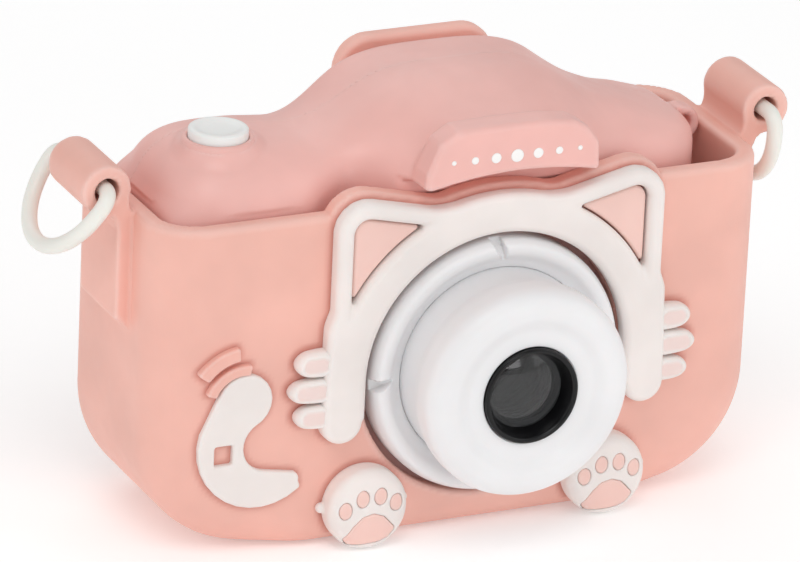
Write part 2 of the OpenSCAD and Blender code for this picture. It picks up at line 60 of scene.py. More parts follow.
# ---- sizes taken from the frame ----
SLEEVE_LOW, SLEEVE_HIGH = span("sleeve")
BARREL_LOW, BARREL_HIGH = span("lens_barrel")
LENS_X = (BARREL_LOW[0] + BARREL_HIGH[0]) / 2
LENS_Z = (BARREL_LOW[2] + BARREL_HIGH[2]) / 2
BARREL_R = (BARREL_HIGH[0] - BARREL_LOW[0]) / 2
BARREL_FRONT = BARREL_LOW[1]
NECK_R = BARREL_R - 1
FACE_Y = SLEEVE_LOW[1]
BACK_Y = SLEEVE_HIGH[1]
BASE_R = (span("lens_base_ring")[1][0] - span("lens_base_ring")[0][0]) / 2
BASE_FRONT = span("lens_base_ring")[0][1]
SHUTTER_LOW, SHUTTER_HIGH = span("shutter_button")
SHUTTER_X = (SHUTTER_LOW[0] + SHUTTER_HIGH[0]) / 2
SHUTTER_Y = (SHUTTER_LOW[1] + SHUTTER_HIGH[1]) / 2
RELIEF_Y = span("cat_frame")[0][1]
PAW_Y = span("hind_paws")[0][1]

# ---- sizes of the sleeve and the body ----
HALF_WIDTH = 46.5
RIM_Z = 49.5
WALL = 2.8
CORNER_R = 17.0
EDGE_R = 7.5
FOOT_EDGE_R = 3.4
HOLE_R = 19.8
HEAD_R = 25.6
LUG_X, LUG_Z, LUG_R, LUG_BORE_R = 50.4, 52.75, 3.6, 1.8
LUG_Y = (-6.8, 6.0)
HUMP_X = 4.8
BACK_HUMP_X = 5.3
SEAM_Y = 2.6
# Each shell reaches this far past the seam, so no gap shows.
SEAM_LAP = 0.12
SHELL = 1.8
BODY_X, BODY_HALF = -1.65, 41.6
BODY_DEPTH = 13.9
SHOULDER_Z = 45.0
VISOR_Y = -20.2
MARKS_Y = (-20.28, -20.0)
LENS_FOOT_Y = -14.0
EYE_X, EYE_Z = 5.0, 55.0
EYELET_X, EYELET_Z, EYELET_R = 40.7, 49.4, 2.6
SCREEN = (9.5, 25.5)
GRILLE_Z, GRILLE_STEP, GRILLE_R = 10.4, 2.4, 0.6
# Openings: the middle, the half-sizes and the corner radius.
SLEEVE_WINDOW = (-0.75, 25.75, 38.25, 19.75, 5)
SLEEVE_PORTS = (3.5, 4.25, 15.5, 5.75, 1.2)
USB_SLOT = (12, 4.55, 4, 1.75, 0.6)
CARD_SLOT = (-3, 4.4, 5.8, 0.75, 0.3)
# The flap's hinge.
HINGE_X, HINGE_Z = -10.6, 1.9
SCREWS = [(-35.5, 12.5), (34.0, 12.0), (-38.8, 46.9), (34.5, 47.0)]
PAD_X, PAD_Z, PAD_STEP = -27.0, 26.0, 8.0
KEYS = {
    "up": (PAD_X, PAD_Z + PAD_STEP),
    "down": (PAD_X, PAD_Z - PAD_STEP),
    "left": (PAD_X + PAD_STEP, PAD_Z),
    "right": (PAD_X - PAD_STEP, PAD_Z),
    "ok": (PAD_X, PAD_Z),
    "power": (PAD_X + 6, PAD_Z + 16),
    "mode": (PAD_X - 6, PAD_Z + 16),
}
PAWS_X = 18.4
PAWS_MIDDLE = 3.1
PAW_R = 6.0


# ---- camera ----
def look_from(azimuth, elevation, roll, distance, aim, focal):
    """A camera that looks at aim (mm) from distance (mm); azimuth 0 looks along +Y."""
    a, e, r = (math.radians(v) for v in (azimuth, elevation, roll))
    back = Vector((math.sin(a) * math.cos(e), -math.cos(a) * math.cos(e), math.sin(e)))
    side = Vector((math.cos(a), math.sin(a), 0))
    up = back.cross(side)
    right = side * math.cos(r) + up * math.sin(r)
    above = up * math.cos(r) - side * math.sin(r)
    data = bpy.data.cameras.new("view")
    data.lens = focal
    data.sensor_width = 36
    data.clip_end = 10
    cam = bpy.data.objects.new("view", data)
    bpy.context.scene.collection.objects.link(cam)
    place = (Vector(aim) + back * distance) * MM
    rows = [(right[i], above[i], back[i], place[i]) for i in range(3)]
    cam.matrix_world = Matrix(rows + [(0, 0, 0, 1)])
    bpy.context.scene.camera = cam


look_from(-25.69, 22.10, 2.68, 1020.8, (-1.947, 1.080, 30.318), 326.65)


# ---- distances and how they combine ----
def ramp(v, a, b):
    """Rises smoothly from 0 at a to 1 at b."""
    t = np.clip((v - a) / (b - a), 0, 1)
    return t * t * (3 - 2 * t)


def both(a, b, r):
    """What lies in a and in b, with edges of radius r."""
    return np.minimum(np.maximum(a, b), -r) + np.hypot(np.maximum(a + r, 0), np.maximum(b + r, 0))


def either(a, b, r):
    """What lies in a or in b, with a fillet of radius r."""
    return -both(-a, -b, r)


def without(a, b, r):
    """What lies in a and not in b, with edges of radius r."""
    return both(a, -b, r)


def melt(a, b, k):
    """a and b joined by a long soft blend."""
    h = np.clip(0.5 + 0.5 * (b - a) / k, 0, 1)
    return b + (a - b) * h - k * h * (1 - h)


def layer(d, low, high):
    """The slab between two values."""
    return np.maximum(low - d, d - high)


def rect(u, v, cu, cv, hu, hv, r):
    qu = np.abs(u - cu) - hu + r
    qv = np.abs(v - cv) - hv + r
    return np.hypot(np.maximum(qu, 0), np.maximum(qv, 0)) + np.minimum(np.maximum(qu, qv), 0) - r


def disc(u, v, cu, cv, r):
    return np.hypot(u - cu, v - cv) - r


def oval(u, v, cu, cv, hu, hv):
    """A near distance to an ellipse with half-sizes hu and hv."""
    k = np.hypot((u - cu) / hu, (v - cv) / hv)
    g = np.hypot((u - cu) / hu**2, (v - cv) / hv**2)
    return k * (k - 1) / np.maximum(g, 1e-6)


def bar(u, v, a, b, r):
    """A thick line from point a to point b."""
    eu, ev = b[0] - a[0], b[1] - a[1]
    t = np.clip(((u - a[0]) * eu + (v - a[1]) * ev) / (eu * eu + ev * ev), 0, 1)
    return np.hypot(u - a[0] - eu * t, v - a[1] - ev * t) - r


def outline(u, v, points):
    """Distance to a closed outline."""
    best = np.full(u.shape, 1e9)
    inside = np.zeros(u.shape, bool)
    for a, b in zip(points, points[1:] + points[:1]):
        eu, ev = b[0] - a[0], b[1] - a[1]
        t = np.clip(((u - a[0]) * eu + (v - a[1]) * ev) / (eu * eu + ev * ev), 0, 1)
        best = np.minimum(best, (u - a[0] - eu * t) ** 2 + (v - a[1] - ev * t) ** 2)
        if ev:
            inside ^= ((a[1] > v) != (b[1] > v)) & (u < eu * (v - a[1]) / ev + a[0])
    return np.where(inside, -1, 1) * np.sqrt(best)


def arc(cu, cv, r, a0, a1, n=8):
    angles = np.radians(np.linspace(a0, a1, n + 1))
    return [(cu + r * math.cos(a), cv + r * math.sin(a)) for a in angles]


# ---- meshes ----
def surface_net(field, low, high, step):
    """Points, quads and outward normals of the surface where field(x, y, z) is zero."""
    counts = [int(math.ceil((h - l) / step)) + 5 for l, h in zip(low, high)]
    axes = [l - 2 * step + step * np.arange(n) for l, n in zip(low, counts)]
    x, y, z = (g.ravel() for g in np.meshgrid(*axes, indexing="ij"))
    value = field(x, y, z).reshape(counts)
    inside = value < 0
    cells = [n - 1 for n in counts]
    total = np.zeros(cells + [3])
    count = np.zeros(cells)
    crossings = []
    for axis in range(3):
        first = tuple(slice(None, -1) if i == axis else slice(None) for i in range(3))
        last = tuple(slice(1, None) if i == axis else slice(None) for i in range(3))
        cross = inside[first] != inside[last]
        at = np.argwhere(cross)
        share = value[first][cross] / (value[first][cross] - value[last][cross])
        place = at.astype(float)
        place[:, axis] += share
        others = [i for i in range(3) if i != axis]
        for da in (0, 1):
            for db in (0, 1):
                cell = at.copy()
                cell[:, others[0]] -= da
                cell[:, others[1]] -= db
                np.add.at(total, tuple(cell.T), place)
                np.add.at(count, tuple(cell.T), 1)
        crossings.append((axis, others, at, inside[first][cross]))
    index = np.full(cells, -1)
    used = count > 0
    index[used] = np.arange(used.sum())
    points = total[used] / count[used][:, None] * step + np.array([a[0] for a in axes])
    quads = []
    for axis, others, at, starts_inside in crossings:
        ring = []
        for da, db in ((1, 1), (0, 1), (0, 0), (1, 0)):
            cell = at.copy()
            cell[:, others[0]] -= da
            cell[:, others[1]] -= db
            ring.append(index[tuple(cell.T)])
        quad = np.stack(ring, 1)
        flip = starts_inside if axis == 1 else ~starts_inside
        quad[flip] = quad[flip][:, ::-1]
        quads.append(quad)
    for _ in range(3):
        points, normals = pull(field, points, step)
    return points, np.concatenate(quads), normals


def slope(field, points, reach):
    g = np.empty_like(points)
    for i in range(3):
        d = np.zeros(3)
        d[i] = reach
        g[:, i] = (field(*(points + d).T) - field(*(points - d).T)) / (2 * reach)
    return g


def pull(field, points, step):
    """Moves points on to the surface, and says which way it faces there."""
    g = slope(field, points, step * 0.25)
    size = np.maximum((g * g).sum(1), 0.05)
    move = -field(*points.T)[:, None] * g / size[:, None]
    far = np.linalg.norm(move, axis=1, keepdims=True)
    move *= np.minimum(1, 0.45 * step / np.maximum(far, 1e-9))
    return points + move, g / np.maximum(np.linalg.norm(g, axis=1, keepdims=True), 1e-9)


def mesh_piece(name, points, faces, normals=None):
    """A smooth-shaded object from points in millimetres."""
    mesh = bpy.data.meshes.new(name)
    if isinstance(faces, np.ndarray):
        mesh.vertices.add(len(points))
        mesh.vertices.foreach_set("co", (points * MM).astype(np.float32).ravel())
        mesh.loops.add(faces.size)
        mesh.loops.foreach_set("vertex_index", faces.astype(np.int32).ravel())
        mesh.polygons.add(len(faces))
        mesh.polygons.foreach_set("loop_start", (np.arange(len(faces)) * 4).astype(np.int32))
        mesh.update(calc_edges=True)
    else:
        mesh.from_pydata([Vector(p) * MM for p in points], [], faces)
    mesh.validate()
    mesh.shade_smooth()
    if normals is not None:
        mesh.normals_split_custom_set_from_vertices(normals.tolist())
    piece = bpy.data.objects.new(name, mesh)
    bpy.context.scene.collection.objects.link(piece)
    return piece


def solid(name, field, low, high, step, tint=None, skin=None):
    """A piece from a distance field; tint(x, y, z) is stored for its material to read.

    Points on the surface of skin are shaded as if that surface ran on past the piece's edge.
    """
    points, quads, normals = surface_net(field, low, high, step)
    if skin is not None:
        near = np.abs(skin(*points.T)) < 0.12
        run_on = slope(skin, points[near], step * 0.25)
        normals[near] = run_on / np.linalg.norm(run_on, axis=1, keepdims=True)
    piece = mesh_piece(name, points, quads, normals)
    if tint is not None:
        values = np.clip(tint(*points.T), 0, 1).astype(np.float32)
        piece.data.attributes.new("tint", "FLOAT", "POINT").data.foreach_set("value", values)
    return piece


def curve_corner(points, r, n=5):
    """Rounds the corners of an open profile with radius r, or less where a side is short."""
    out = [points[0]]
    for a, b, c in zip(points, points[1:], points[2:]):
        a, b, c = np.array(a), np.array(b), np.array(c)
        ab, bc = a - b, c - b
        la, lc = np.linalg.norm(ab), np.linalg.norm(bc)
        cut = min(r, 0.45 * la, 0.45 * lc)
        p, q = b + ab / la * cut, b + bc / lc * cut
        for t in np.linspace(0, 1, n):
            out.append(tuple((1 - t) ** 2 * p + 2 * t * (1 - t) * b + t * t * q))
    return out + [points[-1]]


def turned(name, profile, centre, axis="y", segments=128):
    """A turned piece. profile holds (radius, height along the axis); it closes on itself."""
    if profile[0][0] > 0:
        profile = profile + [profile[0]]
    points, faces = [], []
    angles = np.linspace(0, 2 * math.pi, segments, endpoint=False)
    rows = []
    for radius, height in profile:
        if radius < 1e-6:
            rows.append([len(points)] * segments)
            turns = [(0.0, 0.0)]
        else:
            rows.append(list(range(len(points), len(points) + segments)))
            turns = [(radius * math.cos(a), radius * math.sin(a)) for a in angles]
        for u, v in turns:
            points.append((centre[0] + u, height, centre[1] + v) if axis == "y"
                          else (centre[0] + u, centre[1] + v, height))
    if profile[0] == profile[-1] and profile[0][0] > 0:
        points = points[:-segments]
        rows[-1] = rows[0]
    for low, high in zip(rows, rows[1:]):
        for i in range(segments):
            j = (i + 1) % segments
            face = [low[i], low[j], high[j], high[i]]
            face = [v for k, v in enumerate(face) if v not in face[:k]]
            if len(face) > 2:
                faces.append(face)
    piece = mesh_piece(name, points, faces)
    outward(piece)
    return piece


def outward(piece):
    """Turns every face to the outside and keeps edges over 40 degrees sharp."""
    work = bmesh.new()
    work.from_mesh(piece.data)
    bmesh.ops.recalc_face_normals(work, faces=work.faces)
    if work.calc_volume(signed=True) < 0:
        bmesh.ops.reverse_faces(work, faces=work.faces)
    work.to_mesh(piece.data)
    work.free()
    piece.data.set_sharp_from_angle(angle=math.radians(40))


def tube(name, path, r, sides=24):
    """A closed tube along a closed path."""
    path = [Vector(p) for p in path]
    n = len(path)
    points, faces = [], []
    normal = (path[1] - path[0]).cross(path[n // 3] - path[0]).normalized()
    for i, p in enumerate(path):
        along = (path[(i + 1) % n] - path[i - 1]).normalized()
        out = along.cross(normal)
        for k in range(sides):
            a = 2 * math.pi * k / sides
            points.append(p + out * (r * math.cos(a)) + normal * (r * math.sin(a)))
    for i in range(n):
        for k in range(sides):
            j, m = (i + 1) % n, (k + 1) % sides
            faces.append([i * sides + k, i * sides + m, j * sides + m, j * sides + k])
    piece = mesh_piece(name, points, faces)
    outward(piece)
    return piece


# ---- materials ----
def rgb(r, g, b):
    """A screen colour, 0 to 255, as linear light."""
    def linear(c):
        return c / 12.92 if c <= 0.04045 else ((c + 0.055) / 1.055) ** 2.4

    return tuple(linear(c / 255) for c in (r, g, b))


def material(name, colour, rough, vary=0.03, grain=0.25, bump=0.02, tint=None, edge=0.0, **sockets):
    """A moulded finish: fine grain, slow colour change, edges lightened as a painted highlight and an
    optional tinted area.

    vary is how far the colour drifts, grain the size of the texture in mm, bump its strength, and edge how
    far edges are lightened as a painted highlight.
    """
    m = bpy.data.materials.new(name)
    m.use_nodes = True
    nodes, link = m.node_tree.nodes, m.node_tree.links.new
    shader = nodes["Principled BSDF"]
    place = nodes.new("ShaderNodeTexCoord").outputs["Object"]

    def noise(size, detail):
        n = nodes.new("ShaderNodeTexNoise")
        n.inputs["Scale"].default_value = 1 / (size * MM)
        n.inputs["Detail"].default_value = detail
        link(place, n.inputs["Vector"])
        return n.outputs["Fac"]

    def mix(factor, a, b):
        n = nodes.new("ShaderNodeMix")
        n.data_type = "RGBA"
        link(factor, n.inputs["Factor"])
        for socket, value in ((n.inputs["A"], a), (n.inputs["B"], b)):
            if isinstance(value, tuple):
                socket.default_value = (*value, 1)
            else:
                link(value, socket)
        return n.outputs["Result"]

    def scaled(value, low, high, start=0.0, end=1.0):
        n = nodes.new("ShaderNodeMapRange")
        for key, v in (("From Min", low), ("From Max", high), ("To Min", start), ("To Max", end)):
            n.inputs[key].default_value = v
        link(value, n.inputs["Value"])
        return n.outputs["Result"]

    drift_size, sheen_size = 14, 2.5
    edge_highlight_start, edge_highlight_full = 0.515, 0.57
    base = rgb(*colour)
    darker = tuple(c * (1 - 2 * vary) for c in base)
    lighter = tuple(min(c * (1 + vary), 1) for c in base)
    paint = mix(scaled(noise(drift_size, 3), 0.35, 0.65), darker, lighter)
    # Painted highlight: edges, found by their pointiness, are lightened towards white by up to edge.
    if edge:
        point = nodes.new("ShaderNodeNewGeometry").outputs["Pointiness"]
        pale = tuple(c + (1 - c) * 0.35 for c in base)
        paint = mix(scaled(point, edge_highlight_start, edge_highlight_full, 0, edge), paint, pale)
    if tint is not None:
        mask = nodes.new("ShaderNodeAttribute")
        mask.attribute_name = "tint"
        paint = mix(mask.outputs["Fac"], paint, rgb(*tint))
    link(paint, shader.inputs["Base Color"])
    sheen = scaled(noise(sheen_size, 4), 0.3, 0.7, rough - 0.05, rough + 0.05)
    link(sheen, shader.inputs["Roughness"])
    if bump:
        bumps = nodes.new("ShaderNodeBump")
        bumps.inputs["Strength"].default_value = bump
        bumps.inputs["Distance"].default_value = 0.1 * MM
        link(noise(grain, 2), bumps.inputs["Height"])
        link(bumps.outputs["Normal"], shader.inputs["Normal"])
    for key, value in sockets.items():
        shader.inputs[key.replace("_", " ")].default_value = value
    return m


# The edge values below paint highlights along the pieces' edges.
SOFT = {"Subsurface_Weight": 0.12, "Subsurface_Scale": 0.0015, "Subsurface_Radius": (1.0, 0.55, 0.45)}
# The silicone's tint colour is painted shade, which the sleeve lays just outside the relief.
SILICONE = material("silicone_pink", (240, 184, 170), 0.52, tint=(196, 112, 98), edge=0.5, grain=0.3,
                    bump=0.12, **SOFT)
BODY_PINK = material("body_pink", (240, 186, 178), 0.42, edge=0.35, grain=0.25, bump=0.08, **SOFT)
RELIEF_WHITE = material("relief_white", (238, 230, 226), 0.5, tint=(238, 196, 188), edge=0.3, bump=0.1,
                        **SOFT)
PAD_PINK = material("pad_pink", (243, 203, 193), 0.5, edge=0.3, bump=0.1, **SOFT)
LENS_WHITE = material("lens_white", (236, 235, 236), 0.38, vary=0.015, bump=0.05, **SOFT)
KEY_WHITE = material("key_white", (238, 238, 236), 0.35, vary=0.015, tint=(120, 120, 126), bump=0.05,
                     **SOFT)
RING_WHITE = material("ring_white", (236, 235, 228), 0.4, vary=0.02, bump=0.06, **SOFT)
PRINT_WHITE = material("print_white", (246, 244, 242), 0.45, vary=0.01)
BLACK_GLOSS = material("black_gloss", (10, 10, 12), 0.22, vary=0.1, Specular_IOR_Level=0.3)
TUBE_BLACK = material("tube_black", (7, 7, 8), 0.6, vary=0.1, Specular_IOR_Level=0.2)
BLACK_MATT = material("black_matt", (22, 22, 25), 0.5, vary=0.1, bump=0.1)
DARK_GLASS = material("dark_glass", (18, 19, 23), 0.06, vary=0.1, bump=0, Coat_Weight=1.0,
                      Coat_Roughness=0.02)
MODULE_BLACK = material("module_black", (38, 38, 42), 0.45, vary=0.08, bump=0.15)
BOARD_GREEN = material("circuit_board", (38, 104, 66), 0.4, vary=0.12, grain=1.2, bump=0.3)
FLEX_ORANGE = material("flex_film", (205, 134, 46), 0.35, vary=0.08)
WRAP_GREY = material("battery_wrap", (150, 158, 168), 0.3, vary=0.05, Coat_Weight=0.3)
LEAD_RED = material("lead_wire", (176, 44, 44), 0.4)
STEEL = material("steel", (176, 176, 180), 0.32, vary=0.06, grain=0.15, bump=0.15, Metallic=1.0)
RUBBER_GREY = material("membrane", (206, 206, 206), 0.6, vary=0.03)


def lens_material():
    """Clear glass of the front lens."""
    m = bpy.data.materials.new("lens_clear")
    m.use_nodes = True
    shader = m.node_tree.nodes["Principled BSDF"]
    shader.inputs["Base Color"].default_value = (0.92, 0.93, 0.95, 1)
    shader.inputs["Roughness"].default_value = 0.02
    shader.inputs["Transmission Weight"].default_value = 1.0
    shader.inputs["IOR"].default_value = 1.45
    return m


CLEAR = lens_material()
COATED = material("lens_coated", (70, 24, 44), 0.05, vary=0.3, bump=0, Coat_Weight=1.0, Coat_Roughness=0.02)


def finish(piece, stuff, body="camera", node=None):
    """Gives a piece its material and its body, and hides the CAD node that it stands for."""
    piece.data.materials.clear()
    piece.data.materials.append(stuff)
    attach(piece, body)
    if node:
        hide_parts(node)
    return piece


# ---- shapes shared by pieces ----
def plain(x, y, z):
    """No tint anywhere."""
    return 0 * x


def sleeve_side(x, y, z):
    """The sleeve's outer form before its top is cut off."""
    edge = FOOT_EDGE_R + (EDGE_R - FOOT_EDGE_R) * ramp(np.abs(x), 22, 33)
    qx = np.abs(x) - (HALF_WIDTH - CORNER_R)
    qz = CORNER_R - z
    profile = np.hypot(np.maximum(qx, 0), np.maximum(qz, 0)) + np.minimum(np.maximum(qx, qz), 0) - CORNER_R
    a = profile + edge
    b = np.abs(y) - (BACK_Y - edge)
    return np.minimum(np.maximum(a, b), 0) + np.hypot(np.maximum(a, 0), np.maximum(b, 0)) - edge


def mirrored(x):
    """Distance to the lens's middle plane."""
    return np.abs(x - LENS_X)


def ear(x, z, shrink=0.0):
    u, v = mirrored(x), z - LENS_Z
    points = [(7, 19), (8, 21.6), (11.1, 22.5)] + arc(20.4, 22.2, 2.4, 107, 5, 5) + [(22.8, 10), (18, 8)]
    return outline(u, v, points) - 2.2 + shrink


def arm(x, z):
    u = mirrored(x)
    return bar(u, z, (23.2, 19.05), (22.8, LENS_Z + 8), 3.05)


def head(x, z):
    """The cat's head, ears and arms as one flat outline, without the lens hole."""
    round_head = both(disc(x, z, LENS_X, LENS_Z, HEAD_R), 19.5 - z, 1.0)
    return either(either(round_head, ear(x, z), 1.5), arm(x, z), 0.8)


def lens_gap(x, z):
    """The hole for the lens, straight sided below the lens axis."""
    return np.where(z > LENS_Z, disc(x, z, LENS_X, LENS_Z, HOLE_R), mirrored(x) - HOLE_R)


def plate(flat, y, low, high, r):
    """A flat outline made solid from y = low to y = high, with edges of radius r."""
    return both(flat, np.abs(y - (low + high) / 2) - (high - low) / 2, r)


# ---- sleeve ----
def lug(x, y, z):
    u = np.abs(x)
    web = [(47.8, 50.5), (45, 46), (45, 32), (45.8, 32), (48.2, 34), (48.2, 47), (49.4, 50.5)]
    slab = outline(u, z, web) - 0.5
    profile = either(disc(u, z, LUG_X, LUG_Z, LUG_R), slab, 1.2)
    return without(plate(profile, y, *LUG_Y, 0.45), disc(u, z, LUG_X, LUG_Z, LUG_BORE_R), 0.3)


def back_hump(x, z):
    return rect(x, z, BACK_HUMP_X, 50, 12.2, 12.4, 5.0)


def sleeve_field(x, y, z):
    side = sleeve_side(x, y, z)
    wall = layer(side, -WALL, 0)
    lip = plate(head(x, z) - 0.9, y, FACE_Y, FACE_Y + WALL, 0.6)
    hump = plate(back_hump(x, z), y, BACK_Y - WALL, BACK_Y, 0.9)
    rear_drop = 2.6 * ramp(-x, 24, 36) * ramp(y, 2, 13)
    rim = RIM_Z - rear_drop
    cut = both(wall, z - rim, 0.9)
    upper = 40 - z
    d = np.minimum(cut, np.maximum(lip, upper))
    d = either(d, np.maximum(hump, upper), 1.5)
    d = np.maximum(either(d, lug(x, y, z), 0.5), np.abs(y) - BACK_Y)
    in_front, behind, below = y + 10, 8 - y, z - 6
    hole = np.maximum(disc(x, z, LENS_X, LENS_Z, HOLE_R), in_front)
    window = np.maximum(rect(x, z, *SLEEVE_WINDOW), behind)
    eye = np.maximum(disc(x, z, BACK_HUMP_X, EYE_Z, 4.4), behind)
    ports = np.maximum(rect(x, y, *SLEEVE_PORTS), below)
    for opening in (hole, window, eye, ports):
        d = without(d, opening, 0.6)
    return d


def make_sleeve():
    low, high = SLEEVE_LOW.copy(), SLEEVE_HIGH.copy()

    def shade(x, y, z):
        """Painted shade: darker just outside the relief on the front, where the relief meets the face."""
        u = mirrored(x)
        near = np.minimum.reduce([head(x, z), moon_flat(x, z), hat_flat(x, z), paw_flat(x, z)]
                                 + [finger(u, z, *f) for f in FINGERS])
        strength, reach = 0.6, 1.0
        return np.where(y < FACE_Y + 0.5, strength * ramp(reach - near, 0, reach), 0)

    finish(solid("sleeve_silicone", sleeve_field, low, high, 0.55, tint=shade), SILICONE, node="sleeve")


# ---- cat relief ----
def cat_field(x, y, z):
    flat = without(head(x, z), lens_gap(x, z), 0.3)
    flat = without(flat, ear_hole(x, z), 0.3)
    return plate(flat, y, RELIEF_Y, FACE_Y + 0.6, 1.1)


def ear_hole(x, z):
    return both(ear(x, z, 2.5), -disc(x, z, LENS_X, LENS_Z, HEAD_R - 0.6), 0.9)


# Each finger's tip and height, from the lens's middle plane and the ground, and its half-height.
FINGERS = [(30.3, 28.3, 2.0), (31.2, 24.3, 1.85), (30.2, 20.4, 1.8)]


def finger(u, z, tip, level, half):
    root = 26.2
    plump = oval(u, z, root, level, tip - root, half)
    straight = bar(u, z, (25.5, level), (tip - half, level), half - 0.05)
    return 0.6 * plump + 0.4 * straight


def make_cat():
    low = np.array([LENS_X - 27, RELIEF_Y, 14])
    high = np.array([LENS_X + 27, FACE_Y + 1, 54])
    finish(solid("cat_frame_white", cat_field, low, high, 0.3, tint=plain), RELIEF_WHITE,
           node="cat_frame")

    def inlay(x, y, z):
        flat = both(ear(x, z, 2.75), -disc(x, z, LENS_X, LENS_Z, HEAD_R - 0.35), 0.7)
        return plate(flat, y, FACE_Y - 1.5, FACE_Y + 0.6, 0.45)

    finish(solid("ear_inlays_pink", inlay, low, high, 0.3), PAD_PINK, node="ear_inlays")

    def dent(x, z):
        u = mirrored(x)
        return np.minimum.reduce([bar(u, z, (26.6, level), (tip - 2.0, level), 0.9)
                                  for tip, level, half in FINGERS])

    def fingers(x, y, z):
        u = mirrored(x)
        parts = [plate(finger(u, z, *f), y, RELIEF_Y + 0.1, FACE_Y + 0.6, 1.35) for f in FINGERS]
        d = np.minimum.reduce(parts)
        return without(d, np.maximum(dent(x, z), y - (RELIEF_Y + 0.35)), 0.6)

    def blush(x, y, z):
        return np.clip(0.35 - dent(x, z) / 0.9, 0, 0.45)

    low, high = np.array([LENS_X - 33, RELIEF_Y, 18]), np.array([LENS_X + 33, FACE_Y + 1, 32])
    finish(solid("cat_fingers_white", fingers, low, high, 0.25, tint=blush), RELIEF_WHITE,
           node="cat_fingers")


def pads(u, v):
    """Four toe pads and the big pad of a hind paw."""
    toes = [oval(u, v, a, b, 0.95, 1.25) for a, b in ((-3.8, 0.5), (-1.25, 2.0), (1.45, 2.1), (3.85, 0.9))]
    big = outline(u, v, [(-3.2, -3.8), (-2.1, -2.4), (-0.9, -1.3), (0.4, -1.0), (1.7, -1.5), (3.1, -3.0),
                         (2.5, -3.8), (1.2, -4.2), (-1.2, -4.3), (-2.8, -4.3)]) - 0.6
    return np.minimum.reduce(toes + [big])


def paw_flat(x, z):
    return disc(np.abs(x - PAWS_MIDDLE), z, PAWS_X, PAW_R, PAW_R)


def make_paws():
    def paw(x, y, z):
        u, v = np.abs(x - PAWS_MIDDLE) - PAWS_X, z - PAW_R
        crown = 0.035 * np.maximum(PAW_R**2 - u * u - v * v, 0) / PAW_R
        d = plate(paw_flat(x, z), y - (0.2 - crown), PAW_Y, FACE_Y + 0.8, 1.7)
        nubs = np.hypot(np.hypot(np.abs(u) - 6.2, v - 0.1), y - FACE_Y + 0.5) - 0.75
        return np.maximum(either(d, nubs, 0.3), -z)

    def signed_pads(x, z):
        middle = PAWS_MIDDLE + PAWS_X * np.sign(x - PAWS_MIDDLE)
        return pads(x - middle, z - PAW_R)

    def paw_cut(x, y, z):
        d = paw(x, y, z)
        return without(d, np.maximum(signed_pads(x, z) - 0.03, -(d + 1.2)), 0.22)

    def pad(x, y, z):
        return both(signed_pads(x, z), layer(paw(x, y, z), -1.3, -0.04), 0.2)

    reach = PAWS_X + PAW_R + 1.2
    low = np.array([PAWS_MIDDLE - reach, PAW_Y, 0])
    high = np.array([PAWS_MIDDLE + reach, FACE_Y + 1, 2 * PAW_R])
    finish(solid("hind_paws_white", paw_cut, low, high, 0.22, tint=plain), RELIEF_WHITE,
           node="hind_paws")
    finish(solid("paw_pads_pink", pad, low, high, 0.2), PAD_PINK, node="paw_pads")


# ---- moon relief ----
def moon_flat(x, z):
    body = outline(x, z, arc(-31, 17, 8.9, 165, 309, 12) + arc(-26.2, 11.2, 0.6, -30, 95, 4)
                   + arc(-29.8, 16.8, 4.3, 262, 130, 10) + arc(-33.6, 23.7, 3.6, -50, 160, 12)) - 0.5
    return without(body, rect(x, z, -36.6, 16.1, 1.35, 1.45, 0.35), 0.15)


def hat_flat(x, z):
    """The moon's cap: a brim and a crown, two bent bars round the same centre."""
    lean = math.radians(29)
    dx, dz = x + 33.9, z - 23.4
    u, v = dx * math.cos(lean) + dz * math.sin(lean), dz * math.cos(lean) - dx * math.sin(lean)
    r = np.hypot(u, v)
    turn = np.degrees(np.arctan2(np.abs(u), v))
    brim = both(np.abs(r - 5.1) - 0.75, (turn - 41) * r / 57.3, 0.3)
    crown = both(np.abs(r - 7.6) - 1.0, (turn - 24) * r / 57.3, 0.4)
    return np.minimum(brim, crown)


def make_moon():
    def moon(x, y, z):
        return plate(moon_flat(x, z), y, FACE_Y - 0.9, FACE_Y + 0.5, 0.4)

    low, high = np.array([-41.5, FACE_Y - 1.2, 6.5]), np.array([-24, FACE_Y + 0.6, 28.5])
    finish(solid("moon_white", moon, low, high, 0.22, tint=plain), RELIEF_WHITE, node="moon_inlay")

    def hat(x, y, z):
        return plate(hat_flat(x, z), y, FACE_Y - 1.1, FACE_Y + 0.5, 0.4)

    low, high = np.array([-42, FACE_Y - 1.3, 24]), np.array([-28, FACE_Y + 0.6, 33])
    finish(solid("moon_hat_pink", hat, low, high, 0.22, tint=plain), SILICONE, node="moon_hat")


